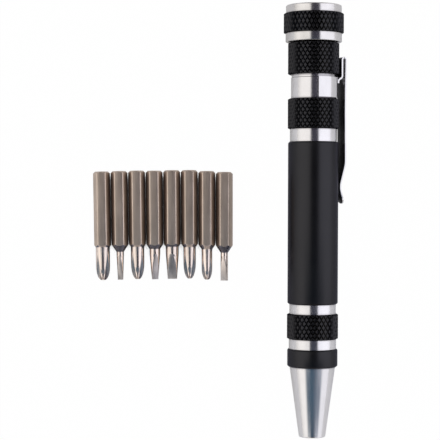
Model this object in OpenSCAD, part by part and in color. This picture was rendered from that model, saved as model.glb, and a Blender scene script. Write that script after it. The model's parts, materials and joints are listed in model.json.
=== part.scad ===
// Pocket screwdriver with a rotating cap, a spring clip, a screw-off nose and eight loose bits.
// The pen lies on the table along Y, nose towards -Y, resting on its cap and its front ring.
// The bits lie side by side on its -X side, tips towards -Y. The origin is under the middle of it all.

/* [Nose section] */
// Length of the bright cone in front of the plain ring
nose_cone_length = 18.2; // [14:0.1:24]
// Wall of the cone at its tip, round the socket liner
nose_tip_wall = 0.7; // [0.5:0.05:1.2]
// How much thinner than the tube the cone is where it meets the plain ring, in radius
nose_cone_drop = 0.125; // [0.05:0.005:0.5]
// Rounding of the tip's outer edge
nose_tip_edge = 0.35; // [0.1:0.05:0.5]
// Length of the plain black ring
plain_ring_length = 4.7; // [3:0.1:8]
// Wall of the plain black ring
plain_ring_wall = 0.625; // [0.5:0.005:1]
// Length of the bright band between the two front rings
lower_band_length = 2.5; // [1.5:0.1:5]
// How far the bright band between the two front rings stands out from the tube's size, in radius
lower_band_step = 0.1; // [0.05:0.05:0.3]
// Length of the knurled front ring
front_knurl_length = 6.5; // [5:0.1:10]
// Length of the bright band behind the knurled front ring
front_band_length = 2.5; // [1.5:0.1:5]
// Length of the threaded spigot that screws into the tube
spigot_length = 5.4; // [4:0.1:5.8]
// Clearance round the spigot, in radius
spigot_clearance = 0.08; // [0.04:0.01:0.15]

/* [Bit socket] */
// Wall of the steel socket liner at the hexagon's corners
socket_wall = 0.31; // [0.2:0.01:0.6]
// Clearance round a bit's flats in the socket
socket_play = 0.055; // [0.02:0.005:0.1]
// Depth of the socket's hexagon
socket_length = 10; // [8:0.5:14]
// Diameter of the magnet under the socket
magnet_d = 3.9; // [3:0.1:4]
// Thickness of the magnet
magnet_length = 3; // [1:0.5:4]
// Play round the magnet
magnet_play = 0.1; // [0.05:0.05:0.2]

/* [Barrel] */
// Length of the long black sleeve
barrel_length = 41.9; // [38:0.1:60]
// Diameter of the tube under the long sleeve
tube_d = 12; // [11:0.1:14]
// Wall of the long black sleeve
sleeve_wall = 0.5; // [0.4:0.05:1]
// Wall of the tube round the bit storage
tube_wall = 0.65; // [0.5:0.05:0.8]
// Length of the bright band behind the long sleeve
barrel_band_length = 3.3; // [2:0.1:6]
// How far the bright band behind the long sleeve stands out from the tube, in radius
barrel_band_step = 0.05; // [0.05:0.05:0.3]
// Length of the middle knurled ring
middle_knurl_length = 7.8; // [6:0.1:12]
// How much thinner the tube is under the middle knurled ring, in radius
middle_seat_drop = 0.05; // [0.02:0.01:0.1]
// Length of the neck that the clip grips
neck_length = 6.2; // [6:0.1:9]
// How much thinner the tube is at the neck, in radius
neck_drop = 0.2; // [0.12:0.01:0.22]
// Length of the rear knurled ring
rear_knurl_length = 8.2; // [6:0.1:12]
// How much thinner the tube is under the rear knurled ring, in radius
rear_seat_drop = 0.25; // [0.23:0.01:0.3]
// Chamfer on the edges of the sleeve and the plain ring
sleeve_edge = 0.35; // [0.1:0.05:0.6]

/* [Knurling] */
// Height of the narrow knurled rings' points over the tube
knurl_height = 0.6; // [0.5:0.05:1]
// Width of one diamond round the ring
knurl_pitch = 1.2; // [0.9:0.05:2]
// Length of one diamond along the ring
knurl_rise = 2; // [1.4:0.1:3]
// Depth of the grooves between the diamonds
knurl_depth = 0.28; // [0.15:0.01:0.32]
// Chamfer at both ends of a knurled ring
knurl_edge = 0.3; // [0.15:0.05:0.5]
// Gap between a pressed-on ring and what it sits on, in radius
ring_seat_gap = 0.01; // [0.005:0.005:0.03]

/* [Cap] */
// Gap between the rear ring and the turning cap
cap_gap = 0.2; // [0.1:0.05:0.5]
// Length of the cap's bright band below its knurling
cap_lower_length = 2.2; // [2:0.1:5]
// How far the cap's lower band stands out from the rear ring, in radius
cap_overhang = 0.65; // [0.3:0.05:1.2]
// Length of the cap's knurled ring
cap_knurl_length = 5.2; // [4:0.1:8]
// Height of the cap's knurled points over its upper band
cap_knurl_height = 0.55; // [0.5:0.05:1]
// Width of one diamond of the cap's knurling
cap_knurl_pitch = 1.1; // [0.9:0.05:2]
// Length of the cap's bright band above its knurling
cap_upper_length = 2.1; // [1.5:0.1:4]
// How much thinner the cap's upper band is than its lower band, in radius
cap_upper_drop = 0.05; // [0.02:0.01:0.2]
// Chamfer on the lower edge of the cap's lower band
cap_lower_edge = 0.12; // [0.05:0.01:0.3]
// Rounding of the cap's end edge
cap_edge = 0.45; // [0.2:0.05:0.8]
// Thickness of the cap's floor, which turns on the stem
cap_floor = 1.8; // [1.2:0.1:1.9]
// Wall of the cap round its hollow
cap_wall = 1.6; // [1.2:0.1:2]
// Width of the step that the closing disc sits on
cap_disc_seat = 0.5; // [0.3:0.05:0.7]
// Thickness of the disc that closes the cap
cap_disc_thickness = 1.4; // [0.8:0.1:1.8]
// Small chamfer where the disc meets the rim
cap_disc_edge = 0.15; // [0.05:0.05:0.2]

/* [Swivel] */
// Length of the plug inside the tube's rear end
plug_length = 3.8; // [3:0.1:4.5]
// Width of the plug's face round the stem that the cap turns on
stem_shoulder = 2.35; // [1.9:0.05:2.8]
// Running clearance between the stem and the cap, in radius
stem_clearance = 0.05; // [0.02:0.01:0.1]
// Length of the stem above the groove
stem_tip_length = 1.4; // [0.8:0.1:2.4]
// Gap between the slip washer and the wall of the cap's hollow
washer_gap = 0.9; // [0.4:0.1:1.4]
// Thickness of the slip washer
washer_thickness = 0.5; // [0.3:0.1:0.8]
// How far the retaining ring stands out from the stem
retaining_ring_rim = 1.1; // [0.6:0.1:1.6]
// Thickness of the retaining ring
retaining_ring_thickness = 0.6; // [0.4:0.1:0.8]
// Depth of the groove that holds the retaining ring
groove_depth = 0.4; // [0.3:0.05:0.6]
// Opening of the retaining ring, in degrees
retaining_ring_opening = 70; // [40:5:120]
// Play along the axis between the swivel's parts
swivel_play = 0.08; // [0.05:0.01:0.12]

/* [Clip] */
// Angle of the clip round the pen, down from the level, in degrees
clip_angle = 21; // [0:1:40]
// Thickness of the clip's sheet
clip_thickness = 0.4; // [0.35:0.05:0.6]
// Gap between the clip's band and the neck
clip_band_gap = 0.05; // [0.02:0.01:0.1]
// Gap between the lower edge of the clip's band and the middle ring
clip_band_end_gap = 0.25; // [0.1:0.05:0.6]
// Gap between the upper edge of the clip's band and the rear ring
clip_band_top_gap = 0.75; // [0.3:0.05:1.2]
// Wrap of the clip's band round the neck, in degrees
clip_band_wrap = 204; // [185:1:260]
// Width of the clip's arm
clip_width = 4.6; // [3.5:0.1:5.5]
// Width of the arm at its tip
clip_tip_width = 3.6; // [2:0.1:4.4]
// Gap between the clip's tab and the rear ring
clip_tab_gap = 0.35; // [0.2:0.05:0.6]
// Inside width of the clip's bend
clip_bend_width = 0.65; // [0.5:0.01:1.5]
// How far the long arm bows in at its middle
clip_arm_bow = 0.15; // [0:0.05:0.3]
// Height of the bend's top over the band
clip_bend_rise = 5.5; // [5:0.1:6.5]
// Length of the arm from the bend's top to its knee
clip_knee_run = 27.6; // [22:0.1:32]
// Length of the slope from the arm's knee in to its heel
clip_heel_run = 6; // [4:0.1:9]
// Length of the flare from the heel to the tip
clip_tip_run = 4.4; // [3.6:0.1:7]
// Gap between the heel and the barrel
clip_heel_gap = 0.08; // [0.05:0.01:0.2]
// How far the tip flares out from the heel
clip_tip_flare = 1.3; // [0.5:0.1:2]
// Angle of the slit in the bend that lets the arm flex, in degrees
clip_slit = 9; // [7:1:14]

/* [Bits] */
// Overall length of a bit
bit_length = 28.4; // [25:0.1:36]
// Distance across the flats of a bit's shank
bit_af = 3.95; // [3.9:0.01:4]
// Softening of a shank's corners, in radius
bit_corner_softening = 0.07; // [0.03:0.01:0.15]
// Length of a bit's hexagonal shank
bit_shank_length = 19.2; // [14:0.1:22]
// Chamfer on a shank's end
bit_end_edge = 0.5; // [0.2:0.05:0.8]
// Gap between two neighbouring bits' corners
bit_gap = 0.14; // [0.1:0.01:3]
// Distance between the pen's axis and the nearest bit's axis
bit_set_gap = 22.9; // [14:0.1:60]
// Distance of the bits' tips from the nose tip, along the pen
bit_set_start = 40.4; // [10:0.1:80]
// Lean of the bit that lies furthest from the pen, in degrees
bit_first_lean = 1.2; // [0.4:0.1:1.3]
// Lean of the bit that lies nearest to the pen, in degrees
bit_last_lean = 0.2; // [0:0.1:0.4]

/* [Hidden] */
$fn = 96;

// Overrun of a cut past the face it opens
overrun = 0.5;
// Diameters that follow the tube
storage_d = tube_d - 2 * tube_wall;
stem_d = storage_d - 2 * stem_shoulder;
barrel_d = tube_d + 2 * sleeve_wall;
barrel_band_d = tube_d + 2 * barrel_band_step;
middle_seat_d = tube_d - 2 * middle_seat_drop;
neck_d = tube_d - 2 * neck_drop;
rear_seat_d = tube_d - 2 * rear_seat_drop;
nose_cone_d = tube_d - 2 * nose_cone_drop;
lower_band_d = tube_d + 2 * lower_band_step;
plain_ring_d = nose_cone_d + 2 * plain_ring_wall;
knurl_d = tube_d + 2 * knurl_height;
cap_lower_d = knurl_d + 2 * cap_overhang;
cap_upper_d = cap_lower_d - 2 * cap_upper_drop;
cap_knurl_d = cap_upper_d + 2 * cap_knurl_height;
cap_hollow_d = cap_upper_d - 2 * cap_wall;
cap_disc_d = cap_hollow_d + 2 * cap_disc_seat;
// Diameters that follow a bit's shank
bit_corner_d = bit_af / cos(30) - 2 * bit_corner_softening;
bit_pitch = bit_corner_d + bit_gap;
socket_af = bit_af + 2 * socket_play;
socket_d = socket_af / cos(30) + 2 * socket_wall;
nose_tip_d = socket_d + 2 * nose_tip_wall;
// Places along the pen, counted from the nose tip
plain_ring_at = nose_cone_length;
lower_band_at = plain_ring_at + plain_ring_length;
front_knurl_at = lower_band_at + lower_band_length;
front_band_at = front_knurl_at + front_knurl_length;
barrel_at = front_band_at + front_band_length;
barrel_band_at = barrel_at + barrel_length;
middle_knurl_at = barrel_band_at + barrel_band_length;
neck_at = middle_knurl_at + middle_knurl_length;
rear_knurl_at = neck_at + neck_length;
tube_end = rear_knurl_at + rear_knurl_length;
cap_at = tube_end + cap_gap;
cap_knurl_at = cap_at + cap_lower_length;
cap_upper_at = cap_knurl_at + cap_knurl_length;
pen_end = cap_upper_at + cap_upper_length;
magnet_at = socket_length + magnet_play;
cap_floor_top = cap_at + cap_floor;
washer_at = cap_floor_top + swivel_play;
retaining_ring_at = washer_at + washer_thickness + swivel_play;
groove_top = retaining_ring_at + retaining_ring_thickness + swivel_play;

// How the pen lies: its axis drops from the wide cap to whichever front ring touches first
cap_contact_at = cap_knurl_at + knurl_edge;
cap_contact_r = cap_knurl_d / 2;
plain_slope = (cap_contact_r - plain_ring_d / 2) / (cap_contact_at - plain_ring_at - sleeve_edge);
knurl_slope = (cap_contact_r - knurl_d / 2) / (cap_contact_at - front_knurl_at - knurl_edge);
lie_angle = atan(min(plain_slope, knurl_slope));
nose_rise = cap_contact_r * cos(lie_angle) - cap_contact_at * sin(lie_angle);
tip_face_r = nose_tip_d / 2 - nose_tip_edge;
cap_face_r = cap_upper_d / 2 - cap_edge;
pen_middle = (pen_end * cos(lie_angle) + (cap_face_r - tip_face_r) * sin(lie_angle)) / 2;

// Where the pen and the bits stand, so that the whole row is centred on the origin
bit_count = 8;
clip_tab_r = knurl_d / 2 + clip_tab_gap;
clip_arm_r = clip_tab_r + clip_bend_width + 2 * clip_thickness;
clip_reach = clip_arm_r * cos(clip_angle) + clip_width / 2 * sin(clip_angle);
set_span = bit_set_gap + (bit_count - 1) * bit_pitch
    + (bit_length / 2 - bit_end_edge) * sin(bit_first_lean) + bit_corner_d / 2 * cos(bit_first_lean);
pen_x = (set_span - clip_reach) / 2;
// Small unevenness of the hand-laid row, as shares of the spacing
bit_shift_shares = [-0.05, -0.02, 0.01, 0.01, 0.04, 0.05, 0, -0.05];

// The clip's centre line: tab, bend and arm, as radius and place along the pen
clip_band_at = neck_at + clip_band_end_gap;
clip_band_height = neck_length - clip_band_end_gap - clip_band_top_gap;
clip_band_top = clip_band_at + clip_band_height;
clip_band_mid_r = neck_d / 2 + clip_band_gap + clip_thickness / 2;
clip_tab_mid_r = clip_tab_r + clip_thickness / 2;
clip_arm_mid_r = clip_arm_r - clip_thickness / 2;
clip_heel_mid_r = barrel_d / 2 + clip_heel_gap + clip_thickness / 2;
clip_tip_mid_r = clip_heel_mid_r + clip_tip_flare;
bend_top = clip_band_top + clip_bend_rise;
bend_r = (clip_arm_mid_r - clip_tab_mid_r) / 2;
bend_centre = [(clip_arm_mid_r + clip_tab_mid_r) / 2, bend_top - bend_r - clip_thickness / 2];
joggle_start = 0.55;
joggle_end = 0.2;
arm_softening = 1.3;
arm_steps = 10;

// Cross-head bits: neck, point, core and length of the point, as shares of the shank's width across flats
cross_large_shares = [0.925, 0.22, 0.15, 0.92];
cross_medium_shares = [0.88, 0.17, 0.13, 1.05];
cross_sharp_shares = [0.81, 0.12, 0.1, 1];
cross_small_shares = [0.7, 0.16, 0.1, 0.75];
// Slotted bits: neck, blade width at the tip and blade thickness at the tip, as shares of the same width
slot_narrow_shares = [0.48, 0.36, 0.09];
slot_tapered_shares = [0.7, 0.42, 0.1];
slot_wide_shares = [0.85, 0.62, 0.13];
slot_small_shares = [0.48, 0.49, 0.08];
// Slope of the shoulder under a shank, as a share of its length
shoulder_slope_share = 1.5;
// Length over which a slotted blade is ground flat, as a share of the part of the bit below the shank
ground_share = 0.72;
// Tilt of a cross-head bit's grooves out from its axis, in degrees
flute_tilt = 11;
point_steps = 6;
// Turn of each slotted blade about its bit's axis, in degrees
slot_narrow_turn = -8;
slot_tapered_turn = 12;
slot_wide_turn = -5;
slot_small_turn = -12;

function unit(v) = v / norm(v);
function arc(centre, radius, from, to, steps) =
    [for (k = [0:steps]) let (a = from + (to - from) * k / steps) centre + radius * [cos(a), sin(a)]];
function side(path, k) =
    let (a = path[max(k - 1, 0)], b = path[min(k + 1, len(path) - 1)]) unit([a[1] - b[1], b[0] - a[0]]);
function strip(path, width) = concat(
    [for (k = [0:len(path) - 1]) path[k] + side(path, k) * width / 2],
    [for (k = [len(path) - 1:-1:0]) path[k] - side(path, k) * width / 2]
);
function softened(path, cut, steps) = concat(
    [path[0]],
    [for (k = [1:len(path) - 2]) for (j = [0:steps])
        let (a = path[k] + unit(path[k - 1] - path[k]) * cut, b = path[k] + unit(path[k + 1] - path[k]) * cut)
        let (t = j / steps) a * (1 - t) * (1 - t) + path[k] * 2 * t * (1 - t) + b * t * t],
    [path[len(path) - 1]]
);
function lean(i) = bit_first_lean + (bit_last_lean - bit_first_lean) * i / (bit_count - 1);

// The pen is modelled standing on its nose tip, then laid down
module lying_pen() {
    translate([pen_x, -pen_middle, nose_rise]) rotate([lie_angle - 90, 0, 0]) children();
}

// A bit is modelled standing on its tip, then laid down in its place in the row
module lying_bit(i) {
    x = pen_x - bit_set_gap - (bit_count - 1 - i) * bit_pitch;
    y = bit_set_start - pen_middle + bit_length / 2 + bit_shift_shares[i] * bit_pitch;
    translate([x, y, bit_af / 2]) rotate([0, 0, lean(i)]) rotate([-90, 0, 0])
        translate([0, 0, -bit_length / 2]) children();
}

// A plain ring with both outer edges chamfered
module chamfered_ring(outer_d, bore_d, length, edge) {
    rotate_extrude() polygon([
        [bore_d / 2, 0], [outer_d / 2 - edge, 0], [outer_d / 2, edge],
        [outer_d / 2, length - edge], [outer_d / 2 - edge, length], [bore_d / 2, length]
    ]);
}

// A ring whose outside is a lattice of four-sided points, in staggered rows, with chamfered ends
module knurled_ring(outer_d, bore_d, length, pitch) {
    columns = 2 * round(PI * outer_d / pitch);
    rows = 2 * round((length - 2 * knurl_edge) / knurl_rise);
    row_step = (length - 2 * knurl_edge) / rows;
    end_r = outer_d / 2 - knurl_depth - knurl_edge / 2;
    function turned(i) = 90 + 360 * i / columns;
    function at(i, r, z) = [r * cos(turned(i)), r * sin(turned(i)), z];
    function point_r(i, j) = outer_d / 2 - ((i + j) % 2 == 0 ? 0 : knurl_depth);
    points = concat(
        [for (i = [0:columns - 1]) at(i, end_r, 0)],
        [for (j = [0:rows]) for (i = [0:columns - 1]) at(i, point_r(i, j), knurl_edge + j * row_step)],
        [for (i = [0:columns - 1]) at(i, end_r, length)]
    );
    // Each square of the lattice is split along its groove
    function corner(i, j) = j * columns + i % columns;
    function halves(i, j) =
        let (a = corner(i, j), b = corner(i, j + 1), c = corner(i + 1, j + 1), d = corner(i + 1, j))
        (i + j) % 2 == 1 ? [[a, b, d], [d, b, c]] : [[a, b, c], [a, c, d]];
    faces = concat(
        [[for (i = [0:columns - 1]) i]],
        [for (j = [0:rows + 1]) for (i = [0:columns - 1]) each halves(i, j)],
        [[for (i = [columns - 1:-1:0]) corner(i, rows + 2)]]
    );
    difference() {
        polyhedron(points, faces);
        translate([0, 0, -overrun]) cylinder(d = bore_d, h = length + 2 * overrun);
    }
}

// Bright inner tube with the storage bore, the neck for the clip and a seat for each ring
module main_tube() {
    bore = storage_d / 2;
    color("silver") lying_pen() rotate_extrude() polygon([
        [bore, barrel_at], [tube_d / 2, barrel_at], [tube_d / 2, barrel_band_at],
        [barrel_band_d / 2, barrel_band_at], [barrel_band_d / 2, middle_knurl_at],
        [middle_seat_d / 2, middle_knurl_at], [middle_seat_d / 2, neck_at], [neck_d / 2, neck_at],
        [neck_d / 2, rear_knurl_at], [rear_seat_d / 2, rear_knurl_at], [rear_seat_d / 2, tube_end],
        [bore, tube_end]
    ]);
}

// Long black grip sleeve pushed over the tube from the front
module barrel_sleeve() {
    color([0.13, 0.13, 0.15]) lying_pen() translate([0, 0, barrel_at])
        chamfered_ring(barrel_d, tube_d + 2 * ring_seat_gap, barrel_length, sleeve_edge);
}

module middle_knurled_ring() {
    color([0.1, 0.1, 0.11]) lying_pen() translate([0, 0, middle_knurl_at])
        knurled_ring(knurl_d, middle_seat_d + 2 * ring_seat_gap, middle_knurl_length, knurl_pitch);
}

module rear_knurled_ring() {
    color([0.1, 0.1, 0.11]) lying_pen() translate([0, 0, rear_knurl_at])
        knurled_ring(knurl_d, rear_seat_d + 2 * ring_seat_gap, rear_knurl_length, knurl_pitch);
}

// Plug pressed into the tube's rear end, with the grooved stem that the cap turns on
module tail_plug() {
    plug_r = storage_d / 2 - ring_seat_gap;
    stem_r = stem_d / 2;
    groove_r = stem_r - groove_depth;
    stem_end = groove_top + stem_tip_length;
    color("silver") lying_pen() rotate_extrude() polygon([
        [0, tube_end - plug_length], [plug_r - sleeve_edge, tube_end - plug_length],
        [plug_r, tube_end - plug_length + sleeve_edge], [plug_r, tube_end], [stem_r, tube_end],
        [stem_r, retaining_ring_at - swivel_play / 2], [groove_r, retaining_ring_at - swivel_play / 2],
        [groove_r, groove_top], [stem_r, groove_top], [stem_r, stem_end - sleeve_edge],
        [stem_r - sleeve_edge, stem_end], [0, stem_end]
    ]);
}

// Thin washer between the cap's floor and the retaining ring
module slip_washer() {
    color("gold") lying_pen() translate([0, 0, washer_at]) difference() {
        cylinder(d = cap_hollow_d - 2 * washer_gap, h = washer_thickness);
        translate([0, 0, -overrun])
            cylinder(d = stem_d + 2 * stem_clearance, h = washer_thickness + 2 * overrun);
    }
}

// Open spring ring that snaps into the stem's groove and holds the cap on
module retaining_ring() {
    inner_r = stem_d / 2 - groove_depth + stem_clearance;
    color("dimgray") lying_pen() translate([0, 0, retaining_ring_at])
        rotate([0, 0, retaining_ring_opening / 2]) rotate_extrude(angle = 360 - retaining_ring_opening)
        translate([inner_r, 0]) square([stem_d / 2 + retaining_ring_rim - inner_r, retaining_ring_thickness]);
}

// Open band that grips the neck, with the tab that rises past the rear ring into the bend
module clip_band() {
    tab_path = concat(
        softened([
            [clip_band_mid_r, clip_band_top - joggle_start - 2 * clip_thickness],
            [clip_band_mid_r, clip_band_top - joggle_start],
            [clip_tab_mid_r, clip_band_top + joggle_end],
            [clip_tab_mid_r, bend_centre[1] - clip_thickness]
        ], clip_thickness, 3),
        arc(bend_centre, bend_r, 180, 90 + clip_slit, arm_steps)
    );
    color("gainsboro") lying_pen() rotate([0, 0, clip_angle]) {
        rotate([0, 0, -clip_band_wrap / 2]) rotate_extrude(angle = clip_band_wrap)
            translate([clip_band_mid_r - clip_thickness / 2, clip_band_at])
            square([clip_thickness, clip_band_height]);
        translate([0, clip_width / 2, 0]) rotate([90, 0, 0]) linear_extrude(clip_width)
            polygon(strip(tab_path, clip_thickness));
    }
}

// Spring arm from the bend down to its heel on the barrel, with a narrowed and flared tip
module clip_arm() {
    knee = [clip_arm_mid_r, bend_top - clip_knee_run];
    heel = [clip_heel_mid_r, knee[1] - clip_heel_run];
    tip = [clip_tip_mid_r, heel[1] - clip_tip_run];
    start = [clip_arm_mid_r, bend_centre[1]];
    bowed = [for (k = [1:arm_steps - 1]) let (t = k / arm_steps)
        start + (knee - start) * t - [clip_arm_bow * sin(180 * t), 0]];
    path = concat(
        arc(bend_centre, bend_r, 90 - clip_slit / 4, 0, arm_steps),
        bowed,
        softened([bowed[len(bowed) - 1] + (knee - start) / arm_steps / 2, knee, heel, tip], arm_softening, 5)
    );
    tip_r = clip_tip_width / 2;
    outline = concat(
        [[-clip_width / 2, bend_top + clip_thickness], [clip_width / 2, bend_top + clip_thickness],
            [clip_width / 2, knee[1]]],
        arc([0, tip[1] + tip_r], tip_r, 0, -180, arm_steps),
        [[-clip_width / 2, knee[1]]]
    );
    color("whitesmoke") lying_pen() rotate([0, 0, clip_angle]) intersection() {
        translate([0, clip_width / 2, 0]) rotate([90, 0, 0]) linear_extrude(clip_width)
            polygon(strip(path, clip_thickness));
        rotate([90, 0, 90]) linear_extrude(2 * clip_arm_r) polygon(outline);
    }
}

// Bright turned cap, a cup whose floor runs on the stem
module end_cap() {
    lower_r = cap_lower_d / 2;
    upper_r = cap_upper_d / 2;
    bore_r = stem_d / 2 + stem_clearance;
    disc_r = cap_disc_d / 2;
    disc_at = pen_end - cap_disc_thickness;
    color("silver") lying_pen() rotate_extrude() polygon(concat(
        [[bore_r, cap_at], [lower_r - cap_lower_edge, cap_at], [lower_r, cap_at + cap_lower_edge],
            [lower_r, cap_knurl_at], [upper_r, cap_knurl_at]],
        arc([upper_r - cap_edge, pen_end - cap_edge], cap_edge, 0, 90, 6),
        [[disc_r + cap_disc_edge, pen_end], [disc_r, pen_end - cap_disc_edge], [disc_r, disc_at],
            [cap_hollow_d / 2, disc_at], [cap_hollow_d / 2, cap_floor_top], [bore_r, cap_floor_top]]
    ));
}

module cap_knurled_ring() {
    color([0.1, 0.1, 0.11]) lying_pen() translate([0, 0, cap_knurl_at])
        knurled_ring(cap_knurl_d, cap_upper_d + 2 * ring_seat_gap, cap_knurl_length, cap_knurl_pitch);
}

// Flat disc pressed into the cap's end
module cap_disc() {
    r = cap_disc_d / 2 - ring_seat_gap;
    color("gainsboro") lying_pen() rotate_extrude() polygon([
        [0, pen_end - cap_disc_thickness], [r, pen_end - cap_disc_thickness], [r, pen_end - cap_disc_edge],
        [r - cap_disc_edge, pen_end], [0, pen_end]
    ]);
}

// Bright turned nose: socket seat, magnet pocket, cone, ring seats and threaded spigot
module nose_cone() {
    seat_r = socket_d / 2 + ring_seat_gap;
    pocket_r = magnet_d / 2 + magnet_play;
    pocket_top = magnet_at + magnet_length + magnet_play;
    spigot_r = storage_d / 2 - spigot_clearance;
    spigot_end = barrel_at + spigot_length;
    color("silver") lying_pen() rotate_extrude() polygon(concat(
        [[0, pocket_top], [pocket_r, pocket_top], [pocket_r, socket_length], [seat_r, socket_length],
            [seat_r, 0]],
        arc([nose_tip_d / 2 - nose_tip_edge, nose_tip_edge], nose_tip_edge, -90, 0, 5),
        [[nose_cone_d / 2, plain_ring_at], [nose_cone_d / 2, lower_band_at],
            [lower_band_d / 2, lower_band_at], [lower_band_d / 2, front_knurl_at],
            [tube_d / 2, front_knurl_at], [tube_d / 2, barrel_at], [spigot_r, barrel_at],
            [spigot_r, spigot_end - sleeve_edge], [spigot_r - sleeve_edge, spigot_end],
            [0, spigot_end]]
    ));
}

module front_plain_ring() {
    color([0.13, 0.13, 0.15]) lying_pen() translate([0, 0, plain_ring_at])
        chamfered_ring(plain_ring_d, nose_cone_d + 2 * ring_seat_gap, plain_ring_length, sleeve_edge);
}

module front_knurled_ring() {
    color([0.1, 0.1, 0.11]) lying_pen() translate([0, 0, front_knurl_at])
        knurled_ring(knurl_d, tube_d + 2 * ring_seat_gap, front_knurl_length, knurl_pitch);
}

// Steel liner with the hexagonal hole for the bits
module bit_socket() {
    hexagon_d = socket_af / cos(30);
    color("gray") lying_pen() difference() {
        cylinder(d = socket_d, h = socket_length);
        translate([0, 0, -overrun]) cylinder(d = hexagon_d, h = socket_length + 2 * overrun, $fn = 6);
    }
}

module socket_magnet() {
    color("dimgray") lying_pen() translate([0, 0, magnet_at]) cylinder(d = magnet_d, h = magnet_length);
}

// Hexagonal shank with softened corners, a chamfered end and a sloping shoulder down to the neck
module bit_shank(neck_r) {
    start = bit_length - bit_shank_length;
    corner_r = bit_corner_d / 2;
    drop = (corner_r - neck_r) * shoulder_slope_share;
    intersection() {
        translate([0, 0, start - drop]) cylinder(d = bit_af / cos(30), h = bit_shank_length + drop, $fn = 6);
        rotate_extrude() polygon([
            [0, start - drop], [neck_r, start - drop], [corner_r, start],
            [corner_r, bit_length - bit_end_edge], [corner_r - bit_end_edge, bit_length], [0, bit_length]
        ]);
    }
}

// Cross-head bit: a pointed round nose with four long grooves
module cross_bit(shares) {
    sizes = shares * bit_af;
    neck_r = sizes[0] / 2;
    point_r = sizes[1] / 2;
    point_length = sizes[3];
    start = bit_length - bit_shank_length;
    bit_shank(neck_r);
    difference() {
        rotate_extrude() polygon(concat(
            [[0, 0], [point_r, 0]],
            [for (k = [1:point_steps]) let (a = 90 * k / point_steps)
                [point_r + (neck_r - point_r) * sin(a), point_length * (1 - cos(a))]],
            [[neck_r, start], [0, start]]
        ));
        for (k = [0:3]) rotate([0, 0, 45 + 90 * k]) translate([sizes[2] / 2, 0, -overrun])
            rotate([0, flute_tilt, 0]) linear_extrude(bit_length)
            polygon([[0, 0], [2 * neck_r, -2 * neck_r], [2 * neck_r, 2 * neck_r]]);
    }
}

// Slotted bit: a round neck ground on both sides to a flat blade
module slotted_bit(shares, turn) {
    sizes = shares * bit_af;
    neck_r = sizes[0] / 2;
    tip_r = sizes[1] / 2;
    thickness = sizes[2];
    start = bit_length - bit_shank_length;
    ground = start * ground_share;
    flare = thickness / 2 + (neck_r - thickness / 2) / ground_share;
    bit_shank(neck_r);
    intersection() {
        rotate_extrude() polygon([[0, 0], [tip_r, 0], [neck_r, ground], [neck_r, start], [0, start]]);
        rotate([0, 0, turn]) rotate([90, 0, 90]) translate([0, 0, -2 * neck_r])
            linear_extrude(4 * neck_r)
            polygon([[-thickness / 2, 0], [thickness / 2, 0], [flare, start], [-flare, start]]);
    }
}

module cross_bit_large() { color("rosybrown") lying_bit(0) cross_bit(cross_large_shares); }
module slotted_bit_narrow() {
    color("rosybrown") lying_bit(1) slotted_bit(slot_narrow_shares, slot_narrow_turn);
}
module cross_bit_medium() { color("rosybrown") lying_bit(2) cross_bit(cross_medium_shares); }
module slotted_bit_tapered() {
    color("rosybrown") lying_bit(3) slotted_bit(slot_tapered_shares, slot_tapered_turn);
}
module slotted_bit_wide() {
    color("rosybrown") lying_bit(4) slotted_bit(slot_wide_shares, slot_wide_turn);
}
module cross_bit_sharp() { color("rosybrown") lying_bit(5) cross_bit(cross_sharp_shares); }
module cross_bit_small() { color("rosybrown") lying_bit(6) cross_bit(cross_small_shares); }
module slotted_bit_small() {
    color("rosybrown") lying_bit(7) slotted_bit(slot_small_shares, slot_small_turn);
}

main_tube();
barrel_sleeve();
middle_knurled_ring();
rear_knurled_ring();
tail_plug();
slip_washer();
retaining_ring();
clip_band();
clip_arm();
end_cap();
cap_knurled_ring();
cap_disc();
nose_cone();
front_plain_ring();
front_knurled_ring();
bit_socket();
socket_magnet();
cross_bit_large();
slotted_bit_narrow();
cross_bit_medium();
slotted_bit_tapered();
slotted_bit_wide();
cross_bit_sharp();
cross_bit_small();
slotted_bit_small();
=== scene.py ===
"""Looks of a pen-style pocket screwdriver and its eight loose bits, laid out on a white table."""
import json
import math

import bmesh
import bpy
from mathutils import Matrix, Vector


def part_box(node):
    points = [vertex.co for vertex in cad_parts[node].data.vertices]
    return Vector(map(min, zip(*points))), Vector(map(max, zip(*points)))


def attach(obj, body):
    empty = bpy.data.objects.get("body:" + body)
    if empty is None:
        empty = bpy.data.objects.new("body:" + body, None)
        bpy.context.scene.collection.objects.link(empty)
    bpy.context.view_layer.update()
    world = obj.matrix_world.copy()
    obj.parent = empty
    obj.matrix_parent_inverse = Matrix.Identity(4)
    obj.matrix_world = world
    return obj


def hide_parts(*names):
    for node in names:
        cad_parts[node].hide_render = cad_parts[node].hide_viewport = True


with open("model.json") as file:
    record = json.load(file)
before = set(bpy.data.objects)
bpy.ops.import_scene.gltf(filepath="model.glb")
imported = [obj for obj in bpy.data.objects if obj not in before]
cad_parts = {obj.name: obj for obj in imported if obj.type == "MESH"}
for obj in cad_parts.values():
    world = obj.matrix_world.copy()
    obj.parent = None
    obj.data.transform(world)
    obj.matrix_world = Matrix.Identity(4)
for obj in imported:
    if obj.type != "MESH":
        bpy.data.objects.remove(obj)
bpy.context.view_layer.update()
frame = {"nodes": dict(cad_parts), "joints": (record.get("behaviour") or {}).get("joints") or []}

# Lengths are written in millimetres, and a piece is scaled to metres when it is finished
MM = 0.001
ROUND_STEPS = 192
FULL_TURN = 2 * math.pi
SHARP_ANGLE = math.radians(28)
SMOOTH_ANGLE = math.radians(20)
RING_ANGLE = math.radians(12)
FLAT_ANGLE = math.radians(0.5)
MERGE_DISTANCE = 1e-4
EDGE_SEGMENTS = 2
ROUND_PROFILE = 0.5
ARC_TURNS = (0, 0.4, 0.8, 1.2, math.pi / 2)
NEARBY = 0.02

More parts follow.
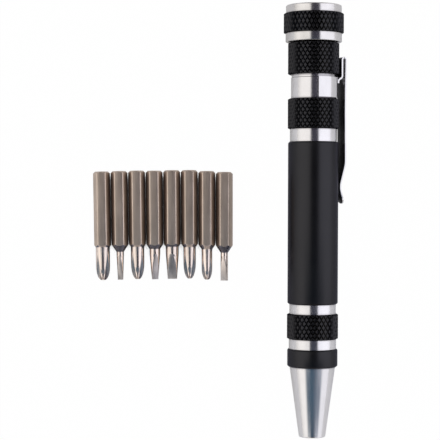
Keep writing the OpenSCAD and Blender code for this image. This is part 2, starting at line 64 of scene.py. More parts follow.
# The pen's own frame: Z runs up its axis from the nose tip, and -Y is up from the table
swivel = next(joint for joint in frame["joints"] if joint["name"] == "cap_swivel")
pen_axis = Vector(swivel["axis"]).normalized()
pen_side = Vector((1, 0, 0))
pen_down = pen_axis.cross(pen_side)
pen_turn = Matrix((pen_side, pen_down, pen_axis)).transposed().to_4x4()
on_axis = Matrix.Translation(Vector(swivel["pos_m"])) @ pen_turn


def in_frame(node, place):
    """The corner points of a CAD node, in millimetres, in the frame that place turns into the row's."""
    back = place.inverted()
    return [(back @ vertex.co) / MM for vertex in frame["nodes"][node].data.vertices]


nose_tip = min(point.z for point in in_frame("nose_cone", on_axis))
PEN = on_axis @ Matrix.Translation((0, 0, nose_tip * MM))


def reach(node):
    """Where a turned node starts and ends along the pen, and its largest radius."""
    points = in_frame(node, PEN)
    along = [point.z for point in points]
    return min(along), max(along), max(math.hypot(point.x, point.y) for point in points)


def radius_at(node, along, pick=max):
    """The largest or smallest radius that a turned node has at a place along the pen."""
    points = [point for point in in_frame(node, PEN) if abs(point.z - along) < NEARBY]
    return pick(math.hypot(point.x, point.y) for point in points)


# Meshes

def chain(mesh, points, closed):
    """Corners in the XZ plane joined by edges, ready to be spun."""
    corners = [mesh.verts.new((r, 0, z)) for r, z in points]
    pairs = list(zip(corners, corners[1:]))
    if closed:
        pairs.append((corners[-1], corners[0]))
    return corners + [mesh.edges.new(pair) for pair in pairs]


def spun(points):
    """A solid of revolution. An outline that starts on the axis stays open there."""
    mesh = bmesh.new()
    outline = chain(mesh, points, closed=points[0][0] > 0)
    bmesh.ops.spin(
        mesh, geom=outline, cent=(0, 0, 0), axis=(0, 0, 1), angle=FULL_TURN, steps=ROUND_STEPS,
        use_merge=True)
    bmesh.ops.remove_doubles(mesh, verts=mesh.verts, dist=MERGE_DISTANCE)
    bmesh.ops.recalc_face_normals(mesh, faces=mesh.faces)
    return mesh


def sharper(mesh, angle):
    """The edges between two faces that meet at more than an angle."""
    return [edge for edge in mesh.edges if len(edge.link_faces) == 2 and edge.calc_face_angle() > angle]


def round_edges(mesh, edges, width, segments):
    bmesh.ops.bevel(
        mesh, geom=edges, offset=width, offset_type="OFFSET", segments=segments, profile=ROUND_PROFILE,
        affect="EDGES", clamp_overlap=True, material=-1)


def soften(mesh, width, angle=RING_ANGLE):
    """Rounds every edge that is sharper than the angle."""
    round_edges(mesh, sharper(mesh, angle), width, EDGE_SEGMENTS)
    return mesh


def turned(points, edge):
    """A solid of revolution with its edges broken."""
    return soften(spun(points), edge)


def finish_piece(name, mesh, place, body, materials, nodes=()):
    """Turns a bmesh in millimetres into a named piece in the row's frame."""
    mesh.transform(place @ Matrix.Scale(MM, 4))
    data = bpy.data.meshes.new(name)
    mesh.to_mesh(data)
    mesh.free()
    for material in materials:
        data.materials.append(material)
    data.shade_smooth()
    data.set_sharp_from_angle(angle=SMOOTH_ANGLE)
    piece = bpy.data.objects.new(name, data)
    bpy.context.scene.collection.objects.link(piece)
    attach(piece, body)
    if nodes:
        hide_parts(*nodes)
    return piece


def copied(node, place, edge, prepare=None):
    """A merged copy of a CAD node in a piece's own frame, with its edges rounded."""
    mesh = bmesh.new()
    mesh.from_mesh(frame["nodes"][node].data)
    mesh.transform(Matrix.Scale(1 / MM, 4) @ place.inverted())
    bmesh.ops.remove_doubles(mesh, verts=mesh.verts, dist=MERGE_DISTANCE)
    bmesh.ops.dissolve_limit(mesh, angle_limit=FLAT_ANGLE, verts=mesh.verts, edges=mesh.edges)
    bmesh.ops.recalc_face_normals(mesh, faces=mesh.faces)
    if prepare:
        prepare(mesh)
    return soften(mesh, edge, SHARP_ANGLE)


# Materials

PATTERN_SPAN = (0.3, 0.7)
LATHE_LINES = (60, 5200, 60)
SMUDGES = (260, 190, 260)
STEP_SHADE_SIZE = 0.0007
STEP_SHADE_SPAN = (0.45, 0.95)
STEP_SHADE = (0.12, 0.11, 0.12)
WEAR_PATCHES = (150, 90, 150)
WORN_GAIN = 1.12
PLATING_PATCHES = (420, 160, 420)
BLADE_REFLECTION_PATCHES = (560, 230, 560)
DRAWN_GRAIN = (2600, 90, 2600)
CREVICE_SHADE_SIZE = 0.003
CREVICE_SHADE_SPAN = (0.1, 0.92)


def new_material(name, **values):
    """A principled material, its nodes, its links and its shader, with constants on the shader's sockets."""
    material = bpy.data.materials.new(name)
    material.use_nodes = True
    nodes = material.node_tree.nodes
    shader = nodes["Principled BSDF"]
    for socket, value in values.items():
        shader.inputs[socket.replace("_", " ")].default_value = value
    return material, nodes, material.node_tree.links, shader


def pattern(nodes, links, scale, detail=3, turn=0.0):
    """Noise on Object coordinates, stretched by a scale for each axis, as a value from 0 to 1."""
    place = nodes.new("ShaderNodeTexCoord")
    mapping = nodes.new("ShaderNodeMapping")
    noise = nodes.new("ShaderNodeTexNoise")
    mapping.inputs["Scale"].default_value = scale
    mapping.inputs["Rotation"].default_value = (turn, 0, 0)
    noise.inputs["Scale"].default_value = 1
    noise.inputs["Detail"].default_value = detail
    links.new(place.outputs["Object"], mapping.inputs["Vector"])
    links.new(mapping.outputs["Vector"], noise.inputs["Vector"])
    return noise.outputs["Fac"]


def ranged(nodes, links, value, low, high, span=PATTERN_SPAN):
    """Maps a pattern onto a span of numbers."""
    node = nodes.new("ShaderNodeMapRange")
    node.inputs["From Min"].default_value = span[0]
    node.inputs["From Max"].default_value = span[1]
    node.inputs["To Min"].default_value = low
    node.inputs["To Max"].default_value = high
    links.new(value, node.inputs["Value"])
    return node.outputs["Result"]


def blended(nodes, links, value, colors, span=PATTERN_SPAN):
    """Mixes two colours by a pattern."""
    ramp = nodes.new("ShaderNodeValToRGB")
    for stop, place, color in zip(ramp.color_ramp.elements, span, colors):
        stop.position = place
        stop.color = (*color, 1)
    links.new(value, ramp.inputs["Fac"])
    return ramp.outputs["Color"]


def mixed(nodes, links, factor, first, second):
    """Mixes two colours, or a colour and an output, by a factor."""
    node = nodes.new("ShaderNodeMix")
    node.data_type = "RGBA"
    links.new(factor, node.inputs["Factor"])
    for socket, color in ((node.inputs["A"], first), (node.inputs["B"], second)):
        if isinstance(color, tuple):
            socket.default_value = (*color, 1)
        else:
            links.new(color, socket)
    return node.outputs["Result"]


def shade(nodes, links, distance, span, values):
    """How open a place is to its surroundings, as a value that falls where something is near."""
    openness = nodes.new("ShaderNodeAmbientOcclusion")
    openness.inputs["Distance"].default_value = distance
    return ranged(nodes, links, openness.outputs["AO"], *values, span=span)


def relief(nodes, links, shader, height, depth):
    """Bumps a shader by a pattern, with its depth in metres."""
    bump = nodes.new("ShaderNodeBump")
    bump.inputs["Strength"].default_value = 1
    bump.inputs["Distance"].default_value = depth
    links.new(height, bump.inputs["Height"])
    links.new(bump.outputs["Normal"], shader.inputs["Normal"])


# The pen's small tilt, by which lathe lines run square to its axis
lie = math.atan2(pen_axis.z, pen_axis.y)


def turned_metal(name, light, dark, rough, line_depth):
    """Bright lathe-turned metal: fine lines round the pen, faint smudges, and a shade beside a step."""
    material, nodes, links, shader = new_material(name, Metallic=1.0)
    lines = pattern(nodes, links, LATHE_LINES, detail=2, turn=-lie)
    smudges = pattern(nodes, links, SMUDGES, detail=4)
    open_share = shade(nodes, links, STEP_SHADE_SIZE, STEP_SHADE_SPAN, (0, 1))
    color = mixed(nodes, links, open_share, STEP_SHADE, blended(nodes, links, smudges, (dark, light)))
    links.new(color, shader.inputs["Base Color"])
    links.new(ranged(nodes, links, smudges, rough[1], rough[0]), shader.inputs["Roughness"])
    relief(nodes, links, shader, lines, line_depth)
    return material


def black_anodised(name, color, edge, rough, grain_scale, grain_depth):
    """Black anodised aluminium with a fine blasted grain, which stays dark where it is seen from the side."""
    material, nodes, links, shader = new_material(name, Metallic=1.0, Specular_Tint=(*edge, 1))
    grain = pattern(nodes, links, (grain_scale,) * 3, detail=2)
    wear = pattern(nodes, links, WEAR_PATCHES, detail=4)
    worn = tuple(WORN_GAIN * channel for channel in color)
    links.new(blended(nodes, links, wear, (color, worn)), shader.inputs["Base Color"])
    links.new(ranged(nodes, links, wear, rough[0], rough[1]), shader.inputs["Roughness"])
    relief(nodes, links, shader, grain, grain_depth)
    return material


def drawn_metal(name, light, dark, rough, depth=1.2e-6, patches=PLATING_PATCHES, crevice_shade=None):
    """Metal with faint lengthwise grain and a tone that varies in patches: slightly uneven plating, but on
    the blades a strong painted reflection. Where something is near, a painted shade may darken its crevices.
    """
    material, nodes, links, shader = new_material(name, Metallic=1.0)
    lines = pattern(nodes, links, DRAWN_GRAIN, detail=3)
    plating = pattern(nodes, links, patches, detail=5)
    color = blended(nodes, links, plating, (dark, light))
    if crevice_shade:
        # Painted shade: the colour darkens towards the crevice colour where other geometry is near
        open_share = shade(nodes, links, CREVICE_SHADE_SIZE, CREVICE_SHADE_SPAN, (0, 1))
        color = mixed(nodes, links, open_share, crevice_shade, color)
    links.new(color, shader.inputs["Base Color"])
    links.new(ranged(nodes, links, lines, rough[0], rough[1]), shader.inputs["Roughness"])
    relief(nodes, links, shader, lines, depth)
    return material


ALUMINIUM = turned_metal(
    "turned_aluminium", (0.775, 0.77, 0.78), (0.725, 0.72, 0.725), rough=(0.16, 0.22), line_depth=3.5e-6)
CAP_ALUMINIUM = turned_metal(
    "cap_aluminium", (0.76, 0.75, 0.74), (0.62, 0.61, 0.6), rough=(0.15, 0.23), line_depth=5e-6)
SATIN_BLACK = black_anodised(
    "satin_black", (0.0355, 0.0355, 0.0385), edge=(0.6, 0.6, 0.65), rough=(0.3, 0.35),
    grain_scale=9000, grain_depth=1e-6)
KNURL_BLACK = black_anodised(
    "knurled_black", (0.032, 0.032, 0.0345), edge=(0.2, 0.2, 0.24), rough=(0.24, 0.32),
    grain_scale=7000, grain_depth=1.6e-6)
CHROME = drawn_metal("clip_chrome", (0.73, 0.725, 0.73), (0.67, 0.665, 0.67), rough=(0.12, 0.2), depth=6e-7)
# Satin nickel for the bit shanks, with a painted shade in the gaps between the bits
NICKEL = drawn_metal(
    "satin_nickel", (0.7, 0.59, 0.5), (0.565, 0.47, 0.39), rough=(0.36, 0.46), depth=2.2e-6,
    crevice_shade=(0.18, 0.13, 0.11))
GROUND_STEEL = drawn_metal(
    "ground_steel", (0.98, 0.86, 0.78), (0.76, 0.66, 0.59), rough=(0.18, 0.26), depth=4e-7)
# Dark painted reflection for the faces of the bits' shoulders that turn towards the tip
SHOULDER_PAINTED_REFLECTION = drawn_metal("shoulder_painted_reflection", (0.24, 0.24, 0.28), (0.12, 0.12, 0.15), rough=(0.24, 0.3))
# Ground blade steel, mottled strongly light and dark in patches of a few millimetres: a painted reflection
# that stands in for the varied reflection which the flat blades don't catch
BLADE_STEEL = drawn_metal(
    "blade_steel", (1.0, 0.9, 0.83), (0.45, 0.39, 0.35), rough=(0.28, 0.38), depth=4e-7,
    patches=BLADE_REFLECTION_PATCHES)
SOCKET_STEEL = turned_metal(
    "socket_steel", (0.55, 0.54, 0.53), (0.46, 0.45, 0.44), rough=(0.3, 0.4), line_depth=2e-6)
SPRING_STEEL = drawn_metal("spring_steel", (0.38, 0.38, 0.4), (0.3, 0.3, 0.32), rough=(0.3, 0.4))
BRASS = turned_metal(
    "washer_brass", (0.8, 0.62, 0.3), (0.7, 0.52, 0.24), rough=(0.25, 0.35), line_depth=1.5e-6)


# Pen body

EDGE = 0.08
FINE_EDGE = EDGE / 2
SLEEVE_EDGE = 0.35
STEP_LENGTH = 0.9
STEP_DEPTH = 0.12
GAP = 0.01
THREAD_PITCH = 0.75
THREAD_TURNS = 6
THREAD_DEPTH = 0.3
THREAD_PLAY = 0.06
THREAD_STEPS = 48
TIP_CHAMFER = 0.33
TIP_ROUND = 0.34


def plain_sleeve(node):
    """A black sleeve with chamfered ends whose corners are broken."""
    edge = SLEEVE_EDGE
    start, end, outer = reach(node)
    bore = radius_at(node, start, min)
    return turned([
        (bore, start), (outer - edge, start), (outer, start + edge), (outer, end - edge),
        (outer - edge, end), (bore, end)], EDGE)


def thread(start, root, crest, turns):
    """One unbroken helical ridge, with its profile between a root and a crest radius."""
    mesh = bmesh.new()
    half = THREAD_PITCH / 2
    flank = THREAD_PITCH / 8
    outline = chain(mesh, [
        (root, start), (crest, start + half - flank), (crest, start + half),
        (root, start + THREAD_PITCH - flank)], closed=True)
    bmesh.ops.spin(
        mesh, geom=outline, cent=(0, 0, 0), axis=(0, 0, 1), dvec=(0, 0, THREAD_PITCH / THREAD_STEPS),
        angle=FULL_TURN * turns, steps=THREAD_STEPS * turns)
    loose = [edge for edge in mesh.edges if len(edge.link_faces) == 1]
    bmesh.ops.holes_fill(mesh, edges=loose, sides=4)
    bmesh.ops.recalc_face_normals(mesh, faces=mesh.faces)
    return mesh


def make_tube():
    start, end, band = reach("main_tube")
    outer = radius_at("main_tube", start)
    bore = radius_at("main_tube", start, min)
    sleeve_end = reach("barrel_sleeve")[1]
    middle = reach("middle_knurled_ring")
    rear = reach("rear_knurled_ring")
    seat = radius_at("main_tube", middle[0], min)
    neck = radius_at("main_tube", rear[0])
    rear_seat = radius_at("main_tube", end)
    mouth = start + THREAD_TURNS * THREAD_PITCH
    root = bore + THREAD_DEPTH - THREAD_PLAY
    mesh = turned([
        (root, start), (outer, start), (outer, sleeve_end), (band, sleeve_end), (band, middle[0]),
        (neck, middle[0]), (neck, rear[0] - STEP_LENGTH),
        (neck - STEP_DEPTH, rear[0] - STEP_LENGTH + STEP_DEPTH), (neck - STEP_DEPTH, rear[0]),
        (rear_seat, rear[0]), (rear_seat, end), (bore, end),
        (bore, mouth), (root, mouth)], FINE_EDGE)
    finish_piece("bright_tube", mesh, PEN, "barrel", [ALUMINIUM], ["main_tube"])
    ridge = thread(start + EDGE, root + GAP, bore, THREAD_TURNS - 1)
    finish_piece("tube_thread", ridge, PEN, "barrel", [ALUMINIUM])


def make_nose():
    tip_face, end, widest = reach("nose_cone")
    plain = reach("front_plain_ring")
    knurl = reach("front_knurled_ring")
    barrel = reach("main_tube")[0]
    bore = reach("bit_socket")[2] + GAP
    tip = radius_at("nose_cone", tip_face) + TIP_CHAMFER
    cone = radius_at("front_plain_ring", plain[0], min) - GAP
    front = radius_at("main_tube", barrel)
    spigot = radius_at("main_tube", barrel, min) - THREAD_DEPTH - THREAD_PLAY
    pocket = reach("bit_socket")[1]
    magnet = reach("socket_magnet")
    arc = [
        (tip - TIP_ROUND * (1 - math.sin(turn)), TIP_ROUND * (1 - math.cos(turn)))
        for turn in ARC_TURNS]
    mesh = turned([(bore, 0)] + arc + [
        (cone, plain[0]), (cone, plain[1]), (widest, plain[1]), (widest, knurl[0]), (front, knurl[0]),
        (front, barrel), (spigot, barrel), (spigot, end - SLEEVE_EDGE), (spigot - SLEEVE_EDGE, end),
        (magnet[2], end), (magnet[2], magnet[1]), (magnet[2] + GAP, magnet[1]), (magnet[2] + GAP, pocket),
        (bore, pocket)], FINE_EDGE)
    finish_piece("bright_nose", mesh, PEN, "nose_section", [ALUMINIUM], ["nose_cone"])
    ridge = thread(barrel + EDGE, spigot - GAP, spigot + THREAD_DEPTH, THREAD_TURNS)
    finish_piece("nose_thread", ridge, PEN, "nose_section", [ALUMINIUM])


def make_sleeves():
    finish_piece("grip_sleeve", plain_sleeve("barrel_sleeve"), PEN, "barrel",
                 [SATIN_BLACK], ["barrel_sleeve"])
    finish_piece("plain_ring", plain_sleeve("front_plain_ring"), PEN, "nose_section",
                 [SATIN_BLACK], ["front_plain_ring"])


# Knurling

KNURL_PITCH = 1.2
KNURL_RISE = 2.0
KNURL_DEPTH = 0.27
KNURL_FLAT_SHARE = 0.46
KNURL_EDGE = 0.22
KNURL_MERGE = 1e-3
CAP_KNURL_PITCH = 1.1
ON_FLOOR = 1e-6


def everything(mesh):
    return mesh.verts[:] + mesh.edges[:] + mesh.faces[:]


def corners_in(geometry):
    return [item for item in geometry if isinstance(item, bmesh.types.BMVert)]


def add_copy(mesh, geometry, step):
    """Copies a part of a mesh and moves the copy by a step."""
    copy = bmesh.ops.duplicate(mesh, geom=geometry)["geom"]
    bmesh.ops.translate(mesh, vec=step, verts=corners_in(copy))


def diamond(width, height):
    """One point of the knurling, flat in the XZ plane: a four-sided mound with a small worn top."""
    mesh = bmesh.new()
    spots = ((-width / 2, 0, 0), (0, 0, -height / 2), (width / 2, 0, 0), (0, 0, height / 2))
    mesh.faces.new([mesh.verts.new(spot) for spot in spots])
    raised = corners_in(bmesh.ops.extrude_face_region(mesh, geom=mesh.faces[:])["geom"])
    bmesh.ops.scale(mesh, vec=(KNURL_FLAT_SHARE, 1, KNURL_FLAT_SHARE), verts=raised)
    bmesh.ops.translate(mesh, vec=(0, KNURL_DEPTH, 0), verts=raised)
    floor = [face for face in mesh.faces if all(abs(vertex.co.y) < ON_FLOOR for vertex in face.verts)]
    bmesh.ops.delete(mesh, geom=floor, context="FACES_ONLY")
    return mesh


def knurled(node, pitch):
    """A ring whose outside is a lattice of diamonds, cut off and chamfered at both ends."""
    start, end, outer = reach(node)
    bore = radius_at(node, start, min)
    length = end - start
    rows = round((length - 2 * KNURL_EDGE) / KNURL_RISE)
    rise = (length - 2 * KNURL_EDGE) / rows
    columns = round(FULL_TURN * outer / pitch)
    width = FULL_TURN * outer / columns
    mesh = diamond(width, rise)
    add_copy(mesh, everything(mesh), (width / 2, 0, rise / 2))
    pair = everything(mesh)
    for row in range(1, rows + 1):
        add_copy(mesh, pair, (0, 0, row * rise))
    stack = everything(mesh)
    for column in range(1, columns):
        add_copy(mesh, stack, (column * width, 0, 0))
    for level, side in ((0, -1), (rows * rise, 1)):
        bmesh.ops.bisect_plane(
            mesh, geom=everything(mesh), plane_co=(0, 0, level), plane_no=(0, 0, side), clear_outer=True)
    for vertex in mesh.verts:
        turn = vertex.co.x / outer
        radius = outer - KNURL_DEPTH + vertex.co.y
        vertex.co = (radius * math.cos(turn), radius * math.sin(turn), start + KNURL_EDGE + vertex.co.z)
    bmesh.ops.remove_doubles(mesh, verts=mesh.verts, dist=KNURL_MERGE)
    close_ring(mesh, start, end, outer - KNURL_DEPTH - KNURL_EDGE / 2, bore)
    bmesh.ops.recalc_face_normals(mesh, faces=mesh.faces)
    return mesh


def close_ring(mesh, start, end, rim, bore):
    """Runs a chamfer and a flat face in from each open end of a lattice, and joins them by the bore."""
    middle = (start + end) / 2
    open_edges = [edge for edge in mesh.edges if len(edge.link_faces) == 1]
    loops = []
    for side, level in ((1, end), (-1, start)):
        rim_edges = [edge for edge in open_edges if (edge.verts[0].co.z - middle) * side > 0]
        for radius in (rim, bore):
            grown = bmesh.ops.extrude_edge_only(mesh, edges=rim_edges)["geom"]
            for vertex in corners_in(grown):
                share = radius / math.hypot(vertex.co.x, vertex.co.y)
                vertex.co = (vertex.co.x * share, vertex.co.y * share, level)
            rim_edges = [
                item for item in grown
                if isinstance(item, bmesh.types.BMEdge) and len(item.link_faces) == 1]
        loops.extend(rim_edges)
    bmesh.ops.bridge_loops(mesh, edges=loops)


def make_knurled_rings():
    rings = (
        ("front_knurl", "front_knurled_ring", "nose_section", KNURL_PITCH),
        ("middle_knurl", "middle_knurled_ring", "barrel", KNURL_PITCH),
        ("rear_knurl", "rear_knurled_ring", "barrel", KNURL_PITCH),
        ("cap_knurl", "cap_knurled_ring", "cap", CAP_KNURL_PITCH),
    )
    for name, node, body, pitch in rings:
        finish_piece(name, knurled(node, pitch), PEN, body, [KNURL_BLACK], [node])


# Cap

CAP_EDGE = 0.45
CAP_LOWER_EDGE = 0.12
CAP_GROOVE = 0.18
CAP_ROOM = 0.9


def make_cap():
    start, end, lower = reach("end_cap")
    knurl = reach("cap_knurled_ring")
    upper = radius_at("cap_knurled_ring", knurl[0], min) - GAP
    disc = reach("cap_disc")
    stem = radius_at("end_cap", start, min)
    floor = reach("slip_washer")[0] - EDGE
    hollow = reach("slip_washer")[2] + CAP_ROOM
    arc = [
        (upper - CAP_EDGE * (1 - math.cos(turn)), end - CAP_EDGE * (1 - math.sin(turn)))
        for turn in ARC_TURNS]
    mesh = turned([
        (stem, start), (lower - CAP_LOWER_EDGE, start), (lower, start + CAP_LOWER_EDGE), (lower, knurl[0]),
        (upper, knurl[0])] + arc + [
        (disc[2] + GAP + CAP_GROOVE, end), (disc[2] + GAP, end - CAP_GROOVE), (disc[2] + GAP, disc[0]),
        (hollow, disc[0]), (hollow, floor), (stem, floor)], FINE_EDGE)
    finish_piece("bright_cap", mesh, PEN, "cap", [CAP_ALUMINIUM], ["end_cap"])
    mesh = turned([
        (0, disc[0]), (disc[2], disc[0]), (disc[2], end - CAP_GROOVE), (disc[2] - CAP_GROOVE, end),
        (0, end)], FINE_EDGE)
    finish_piece("end_disc", mesh, PEN, "cap", [CAP_ALUMINIUM], ["cap_disc"])


# Clip

CLIP_EDGE = 0.06


def make_clip():
    finish_piece("clip_collar", copied("clip_band", PEN, CLIP_EDGE), PEN, "barrel",
                 [CHROME], ["clip_band"])
    finish_piece("clip_spring", copied("clip_arm", PEN, CLIP_EDGE), PEN, "spring_arm",
                 [CHROME], ["clip_arm"])


def make_socket():
    finish_piece("hex_socket", copied("bit_socket", PEN, EDGE), PEN, "nose_section",
                 [SOCKET_STEEL], ["bit_socket"])


# Bits, from the one that lies furthest from the pen

BITS = ("cross_bit_large", "slotted_bit_narrow", "cross_bit_medium", "slotted_bit_tapered",
        "slotted_bit_wide", "cross_bit_sharp", "cross_bit_small", "slotted_bit_small")
BIT_EDGE = 0.05
TIP_LENGTH = 9.15
LONG_EDGE = 15
CORNER_ANGLE = math.radians(12)
CORNER_WIDTH = 0.2
CORNER_SEGMENTS = 3
BLADE_AREA = 4
BLADE_UPRIGHT = 0.9
SHOULDER_LENGTH = 2.8
SHOULDER_SLOPE = -0.35
SHOULDER_SIDE = 0.4
BIT_STEELS = [NICKEL, GROUND_STEEL, BLADE_STEEL, SHOULDER_PAINTED_REFLECTION]
GROUND, BLADE, PAINTED_SHOULDER = 1, 2, 3


def rounded_shank(mesh):
    """Rounds the long corners of a hexagonal shank."""
    long_edges = [edge for edge in sharper(mesh, CORNER_ANGLE) if edge.calc_length() > LONG_EDGE]
    round_edges(mesh, long_edges, CORNER_WIDTH, CORNER_SEGMENTS)


def ground_flat(face):
    """Whether a face of a tip is one of a blade's two ground sides."""
    return face.calc_area() > BLADE_AREA and abs(face.normal.z) > BLADE_UPRIGHT


def make_bits():
    """Nickel shanks with ground tips. The shoulder faces that turn towards the tip get a dark painted
    reflection, on a cross-head only at its sides.
    """
    for node in BITS:
        slotted = "slotted" in node
        low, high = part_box(node)
        middle = Matrix.Translation((low + high) / 2)
        mesh = copied(node, middle, BIT_EDGE, rounded_shank)
        shank_start = (low.y - high.y) / MM / 2 + TIP_LENGTH
        for face in mesh.faces:
            along = face.calc_center_median().y
            if along > shank_start:
                continue
            shoulder = along > shank_start - SHOULDER_LENGTH and face.normal.y < SHOULDER_SLOPE
            # Painted reflection: a shoulder face that turns towards the tip gets a dark material in place of
            # ground steel
            if shoulder and (slotted or abs(face.normal.x) > SHOULDER_SIDE):
                face.material_index = PAINTED_SHOULDER
            else:
                face.material_index = BLADE if slotted and ground_flat(face) else GROUND
        finish_piece(node.replace("_bit_", "_tip_"), mesh, middle, "loose_" + node,
                     BIT_STEELS, [node])


# CAD nodes that stay, inside the pen

def finish_node(node, material):
    """Gives a CAD node its one material."""
    slots = frame["nodes"][node].data.materials
    slots.clear()
    slots.append(material)


def dress_inner_nodes():
    finish_node("tail_plug", ALUMINIUM)
    finish_node("slip_washer", BRASS)
    finish_node("retaining_ring", SPRING_STEEL)
    finish_node("socket_magnet", SPRING_STEEL)


# Table, light and camera

CAMERA_SPOT = (0.0003, 0.00025, 0.4073)
CAMERA_ANGLE = math.radians(16.18)
CAMERA_ROLL = math.radians(0.21)
CAMERA_NEAR = 0.01
TABLE_SIZE = 1.5
TABLE_DROP = 0.00002
TABLE_GLOW = 0.99
PAINTED_TABLE_LIGHT = 0.12

# Painted shade and glow on the table: how near a piece has to be, the span of openness, and the values at its
# ends
PAINTED_SHADOW_UNDER_PEN = (0.0045, (0.25, 0.75), (0.02, 0.88))
PAINTED_GLOW_AWAY_FROM_PEN = (0.0045, (0.4, 1.0), (0, PAINTED_TABLE_LIGHT))
PAINTED_SHADE_BETWEEN_BITS = (0.006, (0.1, 0.18), (0.012, 1.0))

# The room's colours, on each side of the pen, over it, ahead of its nose and behind its cap
LEFT_LIGHT = (1.16, 1.12, 1.09)
LEFT_LOW = (0.68, 0.66, 0.645)
RIGHT_LIGHT = (1.27, 1.26, 1.35)
RIGHT_LOW = (0.95, 0.94, 1.0)
RIGHT_AHEAD = (1.03, 1.02, 1.07)
DARK_STRIP = (0.045, 0.042, 0.06)
BLUE_LEFT = (0.06, 0.115, 0.175)
BLUE_RIGHT = (0.19, 0.225, 0.29)
FAR_AHEAD = (0.33, 0.305, 0.295)
FAR_BEHIND = (0.16, 0.155, 0.15)
STRIP_FROM = (math.radians(-16), math.radians(-39))
STRIP_TO = (math.radians(23), math.radians(48.5))
STRIP_SOFTNESS = (math.radians(2.5), math.radians(7))
BLUE_SPAN = (math.radians(-8), math.radians(30))

# Where one colour of the room gives way to the next, along X, Y or Z of the direction
SIDE_SPAN = (-0.3, 0.3)
LEFT_SPAN = (-0.2, 0.42)
RIGHT_SPAN = (-0.35, 0.35)
AHEAD_FROM = (-0.13, -0.24)
AHEAD_TO = (-0.45, -0.51)
FAR_AHEAD_SPAN = (-0.7, -0.85)
FAR_BEHIND_SPAN = (0.66, 0.86)


def studio_world():
    """Bright room on both sides of the pen, with a dark strip over it that turns blue towards the nose."""
    world = bpy.data.worlds.new("studio")
    bpy.context.scene.world = world
    world.use_nodes = True
    nodes, links = world.node_tree.nodes, world.node_tree.links

    def smooth(value, span, low=0.0, high=1.0):
        node = nodes.new("ShaderNodeMapRange")
        node.interpolation_type = "SMOOTHSTEP"
        for socket, number in zip(("From Min", "From Max", "To Min", "To Max"), (*span, low, high)):
            node.inputs[socket].default_value = number
        links.new(value, node.inputs["Value"])
        return node.outputs["Result"]

    def math_node(operation, first, second):
        node = nodes.new("ShaderNodeMath")
        node.operation = operation
        links.new(first, node.inputs[0])
        links.new(second, node.inputs[1])
        return node.outputs["Value"]

    def blend(factor, first, second):
        return mixed(nodes, links, factor, first, second)

    place = nodes.new("ShaderNodeTexCoord")
    split = nodes.new("ShaderNodeSeparateXYZ")
    links.new(place.outputs["Generated"], split.inputs["Vector"])
    x, y, z = (split.outputs[axis] for axis in "XYZ")
    across = math_node("ARCTAN2", x, z)
    strips = []
    for start, end, softness in zip(STRIP_FROM, STRIP_TO, STRIP_SOFTNESS):
        enters = smooth(across, (start - softness, start + softness))
        leaves = smooth(across, (end - softness, end + softness), 1.0, 0.0)
        strips.append(math_node("MULTIPLY", enters, leaves))
    left = blend(smooth(z, LEFT_SPAN), LEFT_LOW, LEFT_LIGHT)
    right = blend(smooth(z, RIGHT_SPAN), RIGHT_LOW, RIGHT_LIGHT)
    over = blend(strips[0], blend(smooth(x, SIDE_SPAN), left, right), DARK_STRIP)
    blue = blend(smooth(across, BLUE_SPAN), BLUE_LEFT, BLUE_RIGHT)
    ahead = blend(strips[1], blend(smooth(x, SIDE_SPAN), left, RIGHT_AHEAD), blue)
    ahead_share = math_node("MULTIPLY", smooth(y, AHEAD_FROM), smooth(y, AHEAD_TO, 1.0, 0.0))
    room = blend(ahead_share, over, ahead)
    room = blend(smooth(y, FAR_AHEAD_SPAN), room, FAR_AHEAD)
    room = blend(smooth(y, FAR_BEHIND_SPAN), room, FAR_BEHIND)
    light = nodes.new("ShaderNodeLightPath")
    seen = blend(light.outputs["Is Camera Ray"], room, (1.0, 1.0, 1.0))
    links.new(seen, nodes["Background"].inputs["Color"])


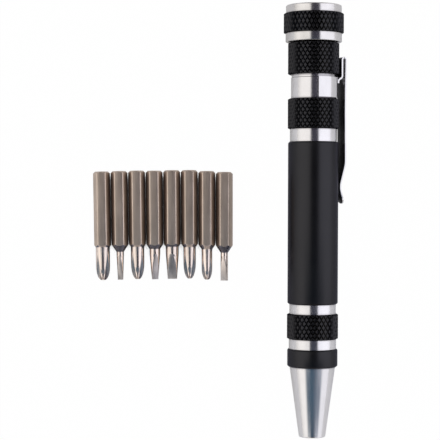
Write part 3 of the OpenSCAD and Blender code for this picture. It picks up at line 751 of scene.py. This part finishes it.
def white_table():
    """A white table top whose faint shadow is painted: its colour darkens under the pen, it glows a little
    where it is open, and the white that the camera sees darkens between the bits.
    """
    mesh = bmesh.new()
    bmesh.ops.create_grid(mesh, x_segments=1, y_segments=1, size=TABLE_SIZE)
    bmesh.ops.translate(mesh, vec=(0, 0, -TABLE_DROP), verts=mesh.verts)
    data = bpy.data.meshes.new("table")
    mesh.to_mesh(data)
    mesh.free()
    table = bpy.data.objects.new("table", data)
    bpy.context.scene.collection.objects.link(table)
    material, nodes, links, shader = new_material("white_table", Roughness=0.6)
    shader.inputs["Specular IOR Level"].default_value = 0.2
    # Painted shadow: the table's colour darkens under the pen
    links.new(shade(nodes, links, *PAINTED_SHADOW_UNDER_PEN), shader.inputs["Base Color"])
    shader.inputs["Emission Color"].default_value = (1, 1, 1, 1)
    # Painted glow: the table emits light where no piece is near
    links.new(shade(nodes, links, *PAINTED_GLOW_AWAY_FROM_PEN), shader.inputs["Emission Strength"])
    glow = nodes.new("ShaderNodeEmission")
    # Painted shade: the white glow that the camera sees darkens between the bits
    links.new(shade(nodes, links, *PAINTED_SHADE_BETWEEN_BITS), glow.inputs["Strength"])
    light = nodes.new("ShaderNodeLightPath")
    mix = nodes.new("ShaderNodeMixShader")
    seen = nodes.new("ShaderNodeMath")
    seen.operation = "MULTIPLY"
    seen.inputs[1].default_value = TABLE_GLOW
    links.new(light.outputs["Is Camera Ray"], seen.inputs[0])
    links.new(seen.outputs["Value"], mix.inputs["Fac"])
    links.new(shader.outputs["BSDF"], mix.inputs[1])
    links.new(glow.outputs["Emission"], mix.inputs[2])
    links.new(mix.outputs["Shader"], nodes["Material Output"].inputs["Surface"])
    data.materials.append(material)


def place_camera():
    camera = bpy.data.objects.new("camera", bpy.data.cameras.new("camera"))
    bpy.context.scene.collection.objects.link(camera)
    camera.data.sensor_fit = "HORIZONTAL"
    camera.data.angle = CAMERA_ANGLE
    camera.data.clip_start = CAMERA_NEAR
    camera.location = CAMERA_SPOT
    camera.rotation_euler = (0, 0, CAMERA_ROLL)
    bpy.context.scene.camera = camera


place_camera()
studio_world()
white_table()
make_tube()
make_nose()
make_sleeves()
make_knurled_rings()
make_cap()
make_clip()
make_socket()
make_bits()
dress_inner_nodes()
bpy.context.scene.view_settings.view_transform = "Standard"
